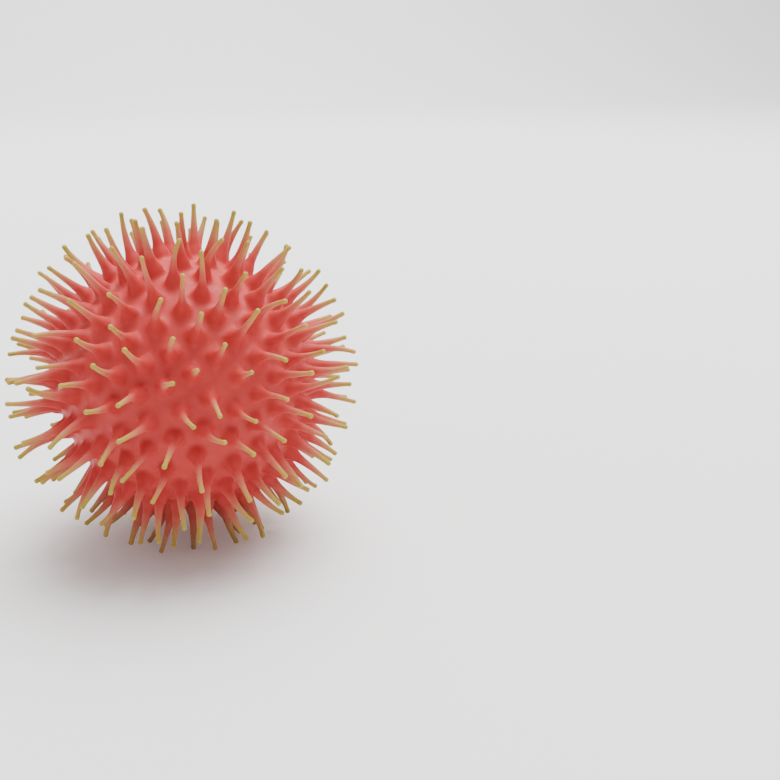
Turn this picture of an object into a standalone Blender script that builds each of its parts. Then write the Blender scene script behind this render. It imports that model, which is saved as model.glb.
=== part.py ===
"""A fresh whole rambutan: a round rind that grows out into soft spines with small round tips.

The fruit stands on a level surface, Z up, with the viewer at -Y. The origin is on that surface,
right under the middle of the fruit. Units are metres.
"""
import math
import random

import bmesh
import bpy
import numpy as np
from mathutils import Vector

# Sizes of the fruit
RIND_RADIUS = 0.0200
SPINE_LENGTH = 0.0083
LENGTH_SPREAD = 0.07
CENTRE_HEIGHT = 0.0269

# Spines: how many, and in degrees how far they stray from an even spread, how far apart they
# settle (pushed by a part of what is missing, in rounds), and how far they lean
SPINE_COUNT = 271
STRAY = 2.8
STRAY_LIMIT = 5.5
FOOT_ROOM = 10.4
ROOT_REACH = 12.4
PUSH = 0.4
SETTLING_ROUNDS = 40
LEAN = 2.8
LEAN_LIMIT = 5.0
SEED = 11

# The spine's own form: height along it as a part of its length, and radius
FLARE = (0.18, 0.00106)
NECK = (0.44, 0.00056)
HEAD = (1.00, 0.00038)
FOOT_RADIUS = 0.00075

# The scar where the stem came off, on the far side
SCAR_PLACE = (24, 176)
SCAR_ROOM = 13.0
SCAR_RADIUS = 0.0021
SCAR_HEIGHT = 0.0006


def direction(latitude, longitude):
    """The unit vector of a place on the fruit."""
    up = math.radians(latitude)
    side = math.radians(longitude)
    return np.array((math.cos(up) * math.sin(side), -math.cos(up) * math.cos(side), math.sin(up)))


def unit(vectors):
    return vectors / np.linalg.norm(vectors, axis=-1, keepdims=True)


def even_directions(count):
    """Directions spread evenly over the sphere, each turned on by the golden angle."""
    steps = np.arange(count)
    height = 1 - (2 * steps + 1) / count
    turn = steps * math.pi * (3 - math.sqrt(5))
    ring = np.sqrt(1 - height ** 2)
    return np.stack((ring * np.cos(turn), ring * np.sin(turn), height), axis=1)


def angles_between(first, second):
    return np.degrees(np.arccos(np.clip(first @ second.T, -1, 1)))


def push_apart(places, held, reach):
    """Places nearer than either one's reach push each other away, except the held ones."""
    wide = np.maximum(reach[:, None], reach[None, :])
    for _ in range(SETTLING_ROUNDS):
        gap = angles_between(places, places)
        np.fill_diagonal(gap, 999)
        push = np.clip(wide - gap, 0, None) * math.radians(PUSH)
        away = places[:, None, :] - places[None, :, :]
        away /= np.maximum(np.linalg.norm(away, axis=2, keepdims=True), 1e-9)
        step = (away * push[:, :, None]).sum(axis=1)
        step[held] = 0
        places = unit(places + step)
    return places


def aside(place, spread, limit, rng):
    """A direction beside the place, turned from it by a random angle in degrees."""
    side = Vector(place).orthogonal().normalized()
    across = Vector(place).cross(side)
    turn = rng.uniform(0, 2 * math.pi)
    angle = math.radians(min(abs(rng.gauss(0, spread)), limit))
    return unit(place + np.array(side * math.cos(turn) + across * math.sin(turn)) * angle)


def spine_places():
    """Roots and tips of all the spines as directions; the last root is the scar's."""
    rng = random.Random(SEED)
    fixed = np.array((direction(-90, 0), direction(*SCAR_PLACE)))
    wanted = SPINE_COUNT - 1
    tried = wanted
    while True:
        free = even_directions(tried)
        gaps = angles_between(free, fixed)
        free = free[(gaps[:, 0] > FOOT_ROOM) & (gaps[:, 1] > SCAR_ROOM)]
        if len(free) >= wanted:
            break
        tried += 1
    free = np.array([aside(place, STRAY, STRAY_LIMIT, rng) for place in free])
    places = np.concatenate((free, fixed))
    held = np.arange(len(places)) >= len(free)
    reach = np.full(len(places), ROOT_REACH)
    reach[-1] = SCAR_ROOM
    roots = push_apart(places, held, reach)
    tips = roots.copy()
    for index in range(len(free)):
        tips[index] = aside(roots[index], LEAN, LEAN_LIMIT, rng)
    lengths = [SPINE_LENGTH * (1 + rng.uniform(-1, 1) * LENGTH_SPREAD) for _ in range(len(places))]
    return roots, tips, lengths


def pressed_tip(tip, reach, head_radius):
    """A spine under the fruit slides outward until its head lies on the surface."""
    lowest = (CENTRE_HEIGHT - head_radius) / reach
    if -tip[2] <= lowest:
        return tip
    side = unit(tip[:2] + 1e-9)
    ring = math.sqrt(1 - lowest ** 2)
    return np.array((side[0] * ring, side[1] * ring, -lowest))


def curve_point(root, middle, tip, along):
    """A point and the heading of a spine's bent middle line."""
    point = (1 - along) ** 2 * root + 2 * along * (1 - along) * middle + along ** 2 * tip
    heading = (1 - along) * (middle - root) + along * (tip - middle)
    return point, unit(heading)


def grow(mesh, face, root, line, rings):
    """Draws one cap of the rind out along the line, ring by ring."""
    spokes = {}
    for vertex in face.verts:
        outward = np.array(vertex.co) - root * np.dot(np.array(vertex.co), root)
        spokes[vertex] = unit(outward)
    for height, radius in rings:
        order = [spokes[vertex] for vertex in face.verts]
        face = bmesh.ops.extrude_discrete_faces(mesh, faces=[face])["faces"][0]
        point, heading = curve_point(*line, height)
        spokes = {}
        for vertex, spoke in zip(face.verts, order):
            spokes[vertex] = spoke
            flat = unit(spoke - heading * np.dot(spoke, heading))
            vertex.co = Vector(point + flat * radius)
    return face


def build_rambutan(collection):
    roots, tips, lengths = spine_places()
    mesh = bmesh.new()
    for root in roots:
        mesh.verts.new(Vector(root * RIND_RADIUS))
    bmesh.ops.convex_hull(mesh, input=mesh.verts)
    mesh.verts.ensure_lookup_table()
    corners = list(mesh.verts)
    bmesh.ops.bevel(mesh, geom=corners, offset=50, offset_type="PERCENT", affect="VERTICES")
    bmesh.ops.remove_doubles(mesh, verts=mesh.verts, dist=1e-5)
    for vertex in mesh.verts:
        vertex.co = vertex.co.normalized() * RIND_RADIUS
    mesh.normal_update()

    caps = [face for face in mesh.faces if len(face.verts) > 3]
    for face in caps:
        middle = unit(np.array(face.calc_center_median()))
        index = int(np.argmax(roots @ middle))
        root = roots[index]
        if index == len(roots) - 1:
            scar = root * (RIND_RADIUS + SCAR_HEIGHT)
            line = (root * RIND_RADIUS, scar, scar + root * SCAR_HEIGHT)
            grow(mesh, face, root, line, ((0.1, SCAR_RADIUS * 1.15), (0.6, SCAR_RADIUS)))
            continue
        if index == len(roots) - 2:
            tip = root * CENTRE_HEIGHT
            line = (root * RIND_RADIUS, (root * RIND_RADIUS + tip) / 2, tip)
            grow(mesh, face, root, line, (FLARE, (0.6, NECK[1]), (1.0, FOOT_RADIUS)))
            continue
        reach = RIND_RADIUS + lengths[index]
        tip = pressed_tip(tips[index], reach, HEAD[1]) * reach
        line = (root * RIND_RADIUS, root * (RIND_RADIUS + lengths[index] * 0.5), tip)
        grow(mesh, face, root, line, (FLARE, NECK, HEAD))

    for vertex in mesh.verts:
        vertex.co.z = max(vertex.co.z + CENTRE_HEIGHT, 0.0)
    bmesh.ops.recalc_face_normals(mesh, faces=mesh.faces)
    data = bpy.data.meshes.new("rambutan")
    mesh.to_mesh(data)
    mesh.free()
    data.shade_smooth()
    fruit = bpy.data.objects.new("rambutan", data)
    collection.objects.link(fruit)
    return fruit


def rind_material():
    material = bpy.data.materials.new("rambutan rind")
    material.use_nodes = True
    shader = material.node_tree.nodes["Principled BSDF"]
    shader.inputs["Base Color"].default_value = (0.52, 0.085, 0.055, 1)
    shader.inputs["Roughness"].default_value = 0.45
    shader.inputs["Metallic"].default_value = 0.0
    return material


for old in list(bpy.data.objects):
    bpy.data.objects.remove(old, do_unlink=True)

group = bpy.data.collections.new("rambutan")
bpy.context.scene.collection.children.link(group)
rambutan = build_rambutan(group)
rambutan.data.materials.append(rind_material())
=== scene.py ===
import math

import bmesh
import bpy
import numpy as np
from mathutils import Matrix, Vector


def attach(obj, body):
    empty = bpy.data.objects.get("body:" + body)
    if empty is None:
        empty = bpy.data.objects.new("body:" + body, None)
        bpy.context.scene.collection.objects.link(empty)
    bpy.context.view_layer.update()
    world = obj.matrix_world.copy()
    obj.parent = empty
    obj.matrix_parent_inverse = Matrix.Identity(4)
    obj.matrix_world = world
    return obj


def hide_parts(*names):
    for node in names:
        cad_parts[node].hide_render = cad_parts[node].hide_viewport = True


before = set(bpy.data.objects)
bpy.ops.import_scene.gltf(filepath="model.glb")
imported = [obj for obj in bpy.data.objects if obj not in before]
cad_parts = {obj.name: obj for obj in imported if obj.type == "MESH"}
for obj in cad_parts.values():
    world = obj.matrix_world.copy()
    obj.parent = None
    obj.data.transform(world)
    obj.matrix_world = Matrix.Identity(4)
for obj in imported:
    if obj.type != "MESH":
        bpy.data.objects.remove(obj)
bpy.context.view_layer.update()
print("frame loaded")

# What a user would change on the fruit. Lengths are in metres.
fruit = {
    "centreHeight": 0.0269,
    "rindRadius": 0.0200,
    "lowestFlare": 0.00115,  # what stands further out of the rind than this is a spine
    "lowestScar": 0.0001,    # what stands further out than this, but less than a flare, is the scar
    "stepsPerSide": 3,       # points along one side of the patch of rind round a spine
    "unevenness": 0.006,     # slow swells of the rind, as a part of its radius
    "bow": 0.018,            # how far a spine bows to one side, as a part of its length
    # spines in front are slender; the others are stouter by this part at half their length
    "front": (0.0, -0.96, 0.28),
    "slender": (35, 68),     # degrees from the front where spines start and stop getting stouter
    "stouter": 0.32,
    "girthSpread": 0.08,     # how much thicker or thinner a spine is, at random
    "stouterSpread": 0.07,   # how much the part above differs from spine to spine
    "seed": 5,               # of everything that differs at random from spine to spine
    "flareRing": 5,          # the station where a spine's foot has become round
    # stations from the low rind between spines to the tip: height as a part of the spine's length
    "height": (0.0, 0.004, 0.014, 0.038, 0.075, 0.115, 0.160, 0.205, 0.255, 0.315, 0.390,
               0.480, 0.585, 0.700, 0.810, 0.885, 0.925, 0.958, 0.982, 0.995, 1.0),
    # how much of the patch's many-sided outline is left at each station of the foot
    "outline": (1.0, 0.68, 0.42, 0.23, 0.10, 0.0),
    # radius in mm from the end of the foot on
    "radius": (1.22, 1.08, 0.91, 0.75, 0.62, 0.53, 0.46, 0.405, 0.36,
               0.33, 0.32, 0.345, 0.375, 0.33, 0.18, 0.0),
}

# The mark where the stem came off: height and radius in mm, at the same stations as a spine's
scar = {
    "reach": 0.008,          # length of its middle line
    "height": (0.0, 0.05, 0.12, 0.22, 0.36, 0.52, 0.62, 0.64, 0.58, 0.46, 0.36,
               0.32, 0.34, 0.44, 0.54, 0.58, 0.57, 0.52, 0.50, 0.50, 0.50),
    "radius": (1.98, 1.84, 1.70, 1.56, 1.42, 1.25, 1.08, 0.90, 0.76,
               0.66, 0.56, 0.44, 0.33, 0.22, 0.10, 0.0),
}


def unit(rows):
    return rows / np.maximum(np.linalg.norm(rows, axis=-1, keepdims=True), 1e-12)


finestStep = 5e-6            # points of the frame that round to the same step are one point
millimetre = 1e-3


# The frame's solid as points and edges, seen from the middle of the fruit
def readFrame(node):
    mesh = node.data
    points = np.zeros(len(mesh.vertices) * 3)
    mesh.vertices.foreach_get("co", points)
    points = points.reshape(-1, 3) - (0, 0, fruit["centreHeight"])
    edges = np.zeros(len(mesh.edges) * 2, int)
    mesh.edges.foreach_get("vertices", edges)
    _, first, same = np.unique(np.round(points / finestStep).astype(int), axis=0,
                               return_index=True, return_inverse=True)
    return points[first], same.ravel()[edges].reshape(-1, 2)


# Each spine is what hangs together outside the rind. Its three rings of points, counted outward,
# are its flare, its neck and its head. The scar's rings lie too low to count as a spine.
def findSpines(points, edges):
    rounds = 40                              # more than there are points along a spine
    flareHeight = 0.18                       # where the flare stands along the frame's spine
    far = np.linalg.norm(points, axis=1)
    outside = far > fruit["rindRadius"] + fruit["lowestFlare"]
    edges = edges[outside[edges].all(axis=1)]
    label = np.arange(len(points))
    for _ in range(rounds):
        low = label[edges].min(axis=1)
        np.minimum.at(label, edges[:, 0], low)
        np.minimum.at(label, edges[:, 1], low)
    roots, tips = [], []
    for name in np.unique(label[outside]):
        spine = points[label == name]
        spine = spine[np.argsort(np.linalg.norm(spine, axis=1))]
        flare, _, head = np.array_split(spine, 3)
        tips.append(head.mean(axis=0))
        # the spine's bend has carried the flare toward the head by the square of its height
        roots.append(unit(flare.mean(axis=0) - flareHeight ** 2 * head.mean(axis=0)))
    return np.array(roots), np.array(tips)


# The scar is the raised ring that is too low to be a spine
def findScar(points):
    far = np.linalg.norm(points, axis=1)
    above = far - fruit["rindRadius"]
    ring = (above > fruit["lowestScar"]) & (above < fruit["lowestFlare"])
    return unit(points[ring].mean(axis=0))


# Triangles that join neighbouring roots, from the hull of the roots
def joinNeighbours(roots):
    shell = bmesh.new()
    for root in roots:
        shell.verts.new(Vector(root))
    bmesh.ops.convex_hull(shell, input=shell.verts)
    bmesh.ops.triangulate(shell, faces=shell.faces)
    shell.verts.index_update()
    places = np.array([tuple(v.co) for v in shell.verts])
    order = np.argmax(places @ roots.T, axis=1)
    triangles = np.array([[order[v.index] for v in face.verts] for face in shell.faces])
    shell.free()
    a, b, c = (roots[triangles[:, k]] for k in range(3))
    turned = np.einsum("ij,ij->i", np.cross(b - a, c - a), a) < 0
    triangles[turned] = triangles[turned][:, ::-1]
    return triangles


# Sectors: one for each side of each root's patch. A side runs between the middles of two
# neighbouring triangles, where a middle is the direction at the same angle from three roots.
def layOutSectors(roots, triangles):
    a, b, c = (roots[triangles[:, k]] for k in range(3))
    middles = unit(np.cross(b - a, c - a))
    owner = {}
    for index, (p, q, r) in enumerate(triangles):
        owner[(p, q)] = index
        owner[(q, r)] = index
        owner[(r, p)] = index
    # seen from outside, the triangle right of the edge p-q comes first, then the one on its left
    sides = [(p, owner[(q, p)], left) for (p, q), left in owner.items()]
    sector = np.array(sides)
    spine = sector[:, 0]
    start, end = middles[sector[:, 1]], middles[sector[:, 2]]
    # number the sectors round their own root, for the bake's tiles
    root = roots[spine]
    east = unit(np.cross(root, np.where(np.abs(root[:, 2:]) > 0.9, (1.0, 0, 0), (0, 0, 1.0))))
    north = np.cross(root, east)
    middle = start + end
    turn = np.arctan2((middle * north).sum(axis=1), (middle * east).sum(axis=1))
    order = np.lexsort((turn, spine))
    count = np.bincount(spine, minlength=len(roots))
    first = np.concatenate(([0], np.cumsum(count)[:-1]))
    place = np.empty(len(spine), int)
    place[order] = np.arange(len(spine)) - first[spine[order]]
    return spine, start, end, place, count


# Slow swells: the mean of a few sine waves that run across the fruit in different directions.
# Each wave is its rate along x, y and z, and its phase.
def swell(places):
    pace = 1.6
    waves = np.array(((2.1, 0.7, 1.3, 0.4), (-1.2, 2.6, 0.5, 1.9), (0.6, -1.5, 2.4, 3.1),
                      (3.3, 2.2, -1.9, 0.8), (-2.7, 1.1, 3.4, 2.5)))
    return np.sin(places @ waves[:, :3].T * pace + waves[:, 3]).mean(axis=-1)


# Surface of rind and spines. A point starts on the round rind, at its distance p from the root
# measured along the rind. It is carried out with the spine's middle line, and its offset from that
# line is tipped until it is square to the line. The middle line is a curve with three control
# points: the root on the rind, a point straight out at half the spine's length, and the tip. It
# also bows to one side, by t squared times (1 - t), scaled so that the bow is 1 where it is most.
def growSurface(roots, tips, scarIndex):
    triangles = joinNeighbours(roots)
    spine, start, end, place, count = layOutSectors(roots, triangles)
    steps = fruit["stepsPerSide"]
    rindRadius = fruit["rindRadius"]
    part = np.linspace(0, 1, steps + 1)[None, :, None]
    border = unit(start[:, None] * (1 - part) + end[:, None] * part)
    root = roots[spine][:, None]
    tilt = np.arccos(np.clip((border * root).sum(axis=-1), -1, 1))
    across = unit(border - root * np.cos(tilt)[..., None])
    reach = rindRadius * tilt                # from the root to the patch's border

    stations = len(fruit["height"])
    height = np.tile(np.array(fruit["height"]), (len(roots), 1))
    foot = fruit["flareRing"]
    length = np.linalg.norm(tips, axis=1) - rindRadius
    rng = np.random.default_rng(fruit["seed"])
    girth = 1 + rng.uniform(-fruit["girthSpread"], fruit["girthSpread"], len(roots))
    bow = np.clip(rng.normal(0, 1, len(roots)), -2, 2) * fruit["bow"] * length
    bow[scarIndex] = 0
    sideways = unit(np.cross(roots, rng.normal(0, 1, (len(roots), 3)))) * bow[:, None]
    shaft = np.array(fruit["radius"])[None] * millimetre * girth[:, None]
    fromFront = np.degrees(np.arccos(np.clip(roots @ unit(np.array(fruit["front"])), -1, 1)))
    nearest, farthest = fruit["slender"]
    share = np.clip((fromFront - nearest) / (farthest - nearest), 0, 1)
    stouter = fruit["stouter"] * share * share * (3 - 2 * share)
    stouter = stouter + rng.uniform(-fruit["stouterSpread"], fruit["stouterSpread"], len(roots))
    along = height[0, foot:]
    shaft = shaft * (1 + stouter[:, None] * 4 * along * (1 - along))
    height[scarIndex] = np.array(scar["height"]) * millimetre / length[scarIndex]
    shaft[scarIndex] = np.array(scar["radius"]) * millimetre

    # from here on the axes are sectors, steps along a side, stations and x, y, z
    t = height[spine][:, None, :, None]
    outline = np.zeros(stations)
    outline[:foot + 1] = fruit["outline"]
    radius = np.empty((len(roots), stations))
    radius[:, foot:] = shaft
    radius[:, :foot] = shaft[:, :1]
    radius = radius[spine][:, None, :]
    p = (radius + (reach[..., None] - radius) * outline)[..., None]

    b = root[:, :, None]
    d = across[:, :, None]
    tip = tips[spine][:, None, None]
    bend = b * (rindRadius + length[spine] * 0.5)[:, None, None, None]
    aside = sideways[spine][:, None, None] * 27 / 4       # t squared times (1 - t) is 4/27 at most
    line = (1 - t) ** 2 * rindRadius * b + 2 * t * (1 - t) * bend + t ** 2 * tip
    line = line + aside * t ** 2 * (1 - t)
    heading = 2 * (1 - t) * (bend - rindRadius * b) + 2 * t * (tip - bend)
    heading = unit(heading + aside * t * (2 - 3 * t))
    tipped = unit(d - heading * (d * heading).sum(axis=-1, keepdims=True))
    onRind = rindRadius * (b * np.cos(p / rindRadius) + d * np.sin(p / rindRadius))
    places = onRind + (line - rindRadius * b) + p * (tipped - d)
    places = places * (1 + fruit["unevenness"] * swell(unit(places)))[..., None]
    places[..., 2] = np.maximum(places[..., 2] + fruit["centreHeight"], 0)
    # what the skin's colour goes by: height along the spine, a tone for each spine, and the scar
    tone = rng.uniform(0, 1, len(roots))[spine][:, None, None]
    onScar = (spine == scarIndex)[:, None, None] * np.maximum(1 - 4 * outline, 0)
    facts = {"along": t[..., 0], "tone": tone, "scar": onScar}
    facts = {name: np.broadcast_to(values, places.shape[:-1]) for name, values in facts.items()}
    return places, facts, spine, place, count


tileMargin = 0.04            # left free on each side of a tile, as a part of the tile
weldDistance = 2e-6
shortestEdge = 1e-6


# Every sector's grid in one mesh, with the borders between sectors welded. The bake's map gives
# each root one tile: round the spine runs across it, and from rind to tip runs up it.
def makeFruit(roots, tips, scarIndex):
    places, facts, spine, place, count = growSurface(roots, tips, scarIndex)
    sectors, columns, stations = places.shape[:3]
    index = np.arange(places[..., 0].size).reshape(sectors, columns, stations)
    corners = (index[:, :-1, :-1], index[:, 1:, :-1], index[:, 1:, 1:], index[:, :-1, 1:])
    quads = np.stack(corners, axis=-1).reshape(-1, 4)
    mesh = bpy.data.meshes.new("rambutanRind")
    mesh.from_pydata(places.reshape(-1, 3), [], quads)
    for name, values in facts.items():
        layer = mesh.attributes.new(name, "FLOAT", "POINT")
        layer.data.foreach_set("value", np.ascontiguousarray(values, dtype=np.float32).ravel())

    tiles = math.ceil(math.sqrt(len(roots)))
    column = (place[:, None] + np.linspace(0, 1, columns)) / count[spine][:, None]
    row = np.linspace(0, 1, stations)
    used = 1 - 2 * tileMargin
    u = (spine % tiles)[:, None, None] + tileMargin + used * column[..., None]
    v = (spine // tiles)[:, None, None] + tileMargin + used * row
    flat = np.stack(np.broadcast_arrays(u, v), axis=-1).reshape(-1, 2) / tiles
    bakeMap = mesh.uv_layers.new(name="OFBake")
    cornerPlaces = np.ascontiguousarray(flat[quads.ravel()], dtype=np.float32)
    bakeMap.uv.foreach_set("vector", cornerPlaces.ravel())

    weld = bmesh.new()
    weld.from_mesh(mesh)
    bmesh.ops.remove_doubles(weld, verts=weld.verts, dist=weldDistance)
    bmesh.ops.dissolve_degenerate(weld, edges=weld.edges, dist=shortestEdge)
    weld.to_mesh(mesh)
    weld.free()
    mesh.shade_smooth()
    piece = bpy.data.objects.new("rambutanRind", mesh)
    bpy.context.scene.collection.objects.link(piece)
    triangleCount = sum(len(polygon.vertices) - 2 for polygon in mesh.polygons)
    print("rind and spines:", len(roots) - 1, "spines,", triangleCount, "triangles")
    return piece


# Colours of the skin, as linear values, and its finish
skin = {
    "rind": (0.55, 0.047, 0.044, 1),
    "rindDark": (0.42, 0.028, 0.026, 1),
    "mound": (0.50, 0.038, 0.036, 1),
    "salmon": (0.54, 0.110, 0.080, 1),
    "shaft": (0.48, 0.225, 0.092, 1),
    "knob": (0.43, 0.290, 0.050, 1),
    "tip": (0.35, 0.300, 0.052, 1),
    # painted shade: the dark brown that spines under the fruit are darkened toward, where it rests
    "shaded": (0.15, 0.070, 0.024, 1),
    "scar": (0.075, 0.036, 0.018, 1),
    "scarPale": (0.24, 0.130, 0.065, 1),
    "roughness": (0.48, 0.64),
    "specular": 0.24,
    "subsurface": 0.45,
    "subsurfaceRadius": (1.0, 0.35, 0.2),
    "subsurfaceScale": 0.0012,
    # noise scales, coarse to fine
    "slow": 160.0,
    "mottle": 420.0,
    "cork": 900.0,
    "grain": 1400.0,
    "toneShift": 0.20,       # how far a spine's own tone moves its colours along it
    "slowShift": 0.24,       # how far slow noise moves them
    "mottled": 0.5,          # how strong the darker mottling of the low rind is
    "paintedShade": 0.62,         # how far painted shade darkens the spines where the fruit rests
    "paintedShadeBelow": (0.012, 0.001),   # heights where the painted shade starts and is full
    "reliefStrength": 0.3,
    "reliefDistance": 0.0001,
}


def link(tree, output, target):
    tree.links.new(output, target)


def skinMaterial():
    material = bpy.data.materials.new("rambutanSkin")
    material.use_nodes = True
    tree = material.node_tree
    nodes = tree.nodes
    shader = nodes["Principled BSDF"]
    place = nodes.new("ShaderNodeTexCoord")

    def attribute(name):
        node = nodes.new("ShaderNodeAttribute")
        node.attribute_name = name
        return node.outputs["Fac"]

    def noise(scale, detail):
        node = nodes.new("ShaderNodeTexNoise")
        node.inputs["Scale"].default_value = scale
        node.inputs["Detail"].default_value = detail
        link(tree, place.outputs["Object"], node.inputs["Vector"])
        return node.outputs["Fac"]

    def combine(operation, first, second, third=None):
        node = nodes.new("ShaderNodeMath")
        node.operation = operation
        for socket, value in zip(node.inputs, (first, second, third)):
            if value is None:
                continue
            if isinstance(value, (int, float)):
                socket.default_value = value
            else:
                link(tree, value, socket)
        return node.outputs[0]

    def mix(factor, first, second):
        node = nodes.new("ShaderNodeMix")
        node.data_type = "RGBA"
        sockets = (node.inputs[0], node.inputs[6], node.inputs[7])
        for socket, value in zip(sockets, (factor, first, second)):
            if isinstance(value, (int, float, tuple)):
                socket.default_value = value
            else:
                link(tree, value, socket)
        return node.outputs[2]

    # height along the spine, stretched a little by each spine's own tone and by slow noise
    along = attribute("along")
    tone = attribute("tone")
    slow = noise(skin["slow"], 2.0)
    stretch = combine("MULTIPLY_ADD", combine("SUBTRACT", tone, 0.5), skin["toneShift"], 1.0)
    stretch = combine("MULTIPLY_ADD", combine("SUBTRACT", slow, 0.5), skin["slowShift"], stretch)
    moved = combine("MULTIPLY", along, stretch)
    ramp = nodes.new("ShaderNodeValToRGB")
    ramp.color_ramp.interpolation = "EASE"
    stops = ((0.0, skin["rind"]), (0.10, skin["mound"]), (0.27, skin["mound"]),
             (0.50, skin["salmon"]), (0.73, skin["shaft"]), (0.88, skin["knob"]), (0.98, skin["tip"]))
    elements = ramp.color_ramp.elements
    while len(elements) < len(stops):
        elements.new(0.5)
    for element, (position, colour) in zip(elements, stops):
        element.position = position
        element.color = colour
    link(tree, moved, ramp.inputs[0])

    # the low rind between spines is mottled darker
    mottle = noise(skin["mottle"], 4.0)
    low = combine("SUBTRACT", 1.0, combine("MULTIPLY", along, 4.0))
    between = nodes.new("ShaderNodeClamp")
    link(tree, low, between.inputs[0])
    dark = combine("MULTIPLY", combine("MULTIPLY", mottle, skin["mottled"]), between.outputs[0])
    colour = mix(dark, ramp.outputs[0], skin["rindDark"])

    # the scar is corky, in two browns
    scarred = attribute("scar")
    cork = noise(skin["cork"], 4.0)
    patchy = nodes.new("ShaderNodeMapRange")
    link(tree, cork, patchy.inputs["Value"])
    patchy.inputs["From Min"].default_value = 0.38
    patchy.inputs["From Max"].default_value = 0.62
    colour = mix(scarred, colour, mix(patchy.outputs[0], skin["scar"], skin["scarPale"]))

    # painted shade: spines under the fruit are darkened toward a dark brown, most of all where it
    # rests
    axes = nodes.new("ShaderNodeSeparateXYZ")
    link(tree, place.outputs["Object"], axes.inputs[0])
    under = nodes.new("ShaderNodeMapRange")
    link(tree, axes.outputs["Z"], under.inputs["Value"])
    under.inputs["From Min"].default_value = skin["paintedShadeBelow"][0]
    under.inputs["From Max"].default_value = skin["paintedShadeBelow"][1]
    colour = mix(combine("MULTIPLY", under.outputs[0], skin["paintedShade"]), colour, skin["shaded"])
    link(tree, colour, shader.inputs["Base Color"])

    # the mottling also changes how matt the skin is
    rough = nodes.new("ShaderNodeMapRange")
    link(tree, mottle, rough.inputs["Value"])
    rough.inputs["From Min"].default_value = 0.3
    rough.inputs["From Max"].default_value = 0.7
    rough.inputs["To Min"].default_value = skin["roughness"][0]
    rough.inputs["To Max"].default_value = skin["roughness"][1]
    link(tree, rough.outputs[0], shader.inputs["Roughness"])

    # fine grain, soft dimples, and a coarser cork on the scar
    relief = combine("MULTIPLY_ADD", slow, 4.0, noise(skin["grain"], 3.0))
    relief = combine("MULTIPLY_ADD", combine("MULTIPLY", cork, scarred), 6.0, relief)
    grain = nodes.new("ShaderNodeBump")
    grain.inputs["Strength"].default_value = skin["reliefStrength"]
    grain.inputs["Distance"].default_value = skin["reliefDistance"]
    link(tree, relief, grain.inputs["Height"])
    link(tree, grain.outputs[0], shader.inputs["Normal"])
    shader.inputs["Specular IOR Level"].default_value = skin["specular"]
    shader.inputs["Subsurface Weight"].default_value = skin["subsurface"]
    shader.inputs["Subsurface Radius"].default_value = skin["subsurfaceRadius"]
    shader.inputs["Subsurface Scale"].default_value = skin["subsurfaceScale"]
    return material


# The scar goes in last, as a root whose line runs straight out of the rind
points, edges = readFrame(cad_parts["rambutan"])
roots, tips = findSpines(points, edges)
scarRoot = findScar(points)
roots = np.vstack((roots, scarRoot))
tips = np.vstack((tips, scarRoot * (fruit["rindRadius"] + scar["reach"])))
print("spines read from the frame:", len(roots) - 1)
rind = makeFruit(roots, tips, len(roots) - 1)
rind.data.materials.append(skinMaterial())
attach(rind, "root")
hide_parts("rambutan")

# Stage: a pale floor, a wide soft light overhead, another on the wall behind, and a pale sky
stage = {
    "floor": (0.84, 0.84, 0.83, 1),
    "sweep": (1.2, 0.8),     # where the floor starts to bend up, and the bend's radius
    "front": -2.0,           # where the floor starts
    "wallHeight": 3.0,
    "halfWidth": 4.0,
    "sky": (1.0, 1.0, 1.0, 1),
    "skyStrength": 0.80,
    "overhead": {"place": (0.26, 0.22, 1.16), "aim": (0, 0, 0.027), "size": 1.2, "power": 38.5},
    "behind": {"place": (0, 0.9, 1.3), "aim": (0, 2.0, 0.4), "size": 1.0, "power": 26.0},
}


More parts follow.
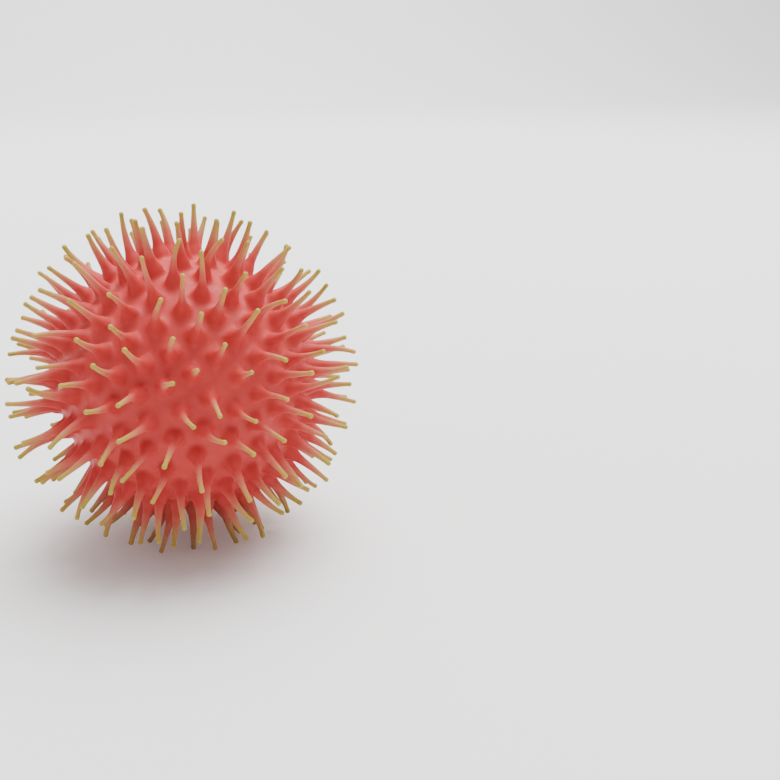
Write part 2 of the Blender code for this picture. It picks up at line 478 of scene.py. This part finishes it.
def softLight(name, light):
    data = bpy.data.lights.new(name, "AREA")
    data.shape = "DISK"
    data.size = light["size"]
    data.energy = light["power"]
    lamp = bpy.data.objects.new(name, data)
    lamp.location = light["place"]
    toward = Vector(light["aim"]) - lamp.location
    lamp.rotation_euler = toward.to_track_quat("-Z", "Y").to_euler()
    bpy.context.scene.collection.objects.link(lamp)


# A floor that sweeps up behind: flat as far as the bend, then a quarter circle, then a wall
def makeStage():
    bend, radius = stage["sweep"]
    turn = np.linspace(0, math.pi / 2, 25)
    back = np.concatenate(([stage["front"]], bend + radius * np.sin(turn), [bend + radius]))
    up = np.concatenate(([0.0], radius * (1 - np.cos(turn)), [stage["wallHeight"]]))
    side = np.array((-stage["halfWidth"], stage["halfWidth"]))
    grid = np.stack((np.tile(side, len(back)), np.repeat(back, 2), np.repeat(up, 2)), axis=-1)
    low = np.arange(len(back) - 1) * 2
    floorMesh = bpy.data.meshes.new("paleFloor")
    floorMesh.from_pydata(grid, [], np.stack((low, low + 1, low + 3, low + 2), axis=-1))
    floorMesh.shade_smooth()
    floor = bpy.data.objects.new("paleFloor", floorMesh)
    bpy.context.scene.collection.objects.link(floor)
    paint = bpy.data.materials.new("paleFloor")
    paint.use_nodes = True
    shader = paint.node_tree.nodes["Principled BSDF"]
    shader.inputs["Base Color"].default_value = stage["floor"]
    shader.inputs["Roughness"].default_value = 0.9
    floorMesh.materials.append(paint)
    softLight("overhead", stage["overhead"])
    softLight("behind", stage["behind"])
    world = bpy.data.worlds.new("paleSky")
    world.use_nodes = True
    sky = world.node_tree.nodes["Background"]
    sky.inputs[0].default_value = stage["sky"]
    sky.inputs[1].default_value = stage["skyStrength"]
    bpy.context.scene.world = world


camera = {
    "place": (0, -0.1730, 0.0798),
    "aim": (0.0351, 0.0044, 0.0216),
    "lens": 50,
    "sensor": 36,
    "nearest": 0.01,
}


def makeCamera():
    data = bpy.data.cameras.new("camera")
    data.lens = camera["lens"]
    data.sensor_width = camera["sensor"]
    data.clip_start = camera["nearest"]
    eye = bpy.data.objects.new("camera", data)
    eye.location = camera["place"]
    toward = Vector(camera["aim"]) - eye.location
    eye.rotation_euler = toward.to_track_quat("-Z", "Y").to_euler()
    bpy.context.scene.collection.objects.link(eye)
    bpy.context.scene.camera = eye


makeStage()
makeCamera()
print("stage and camera made")
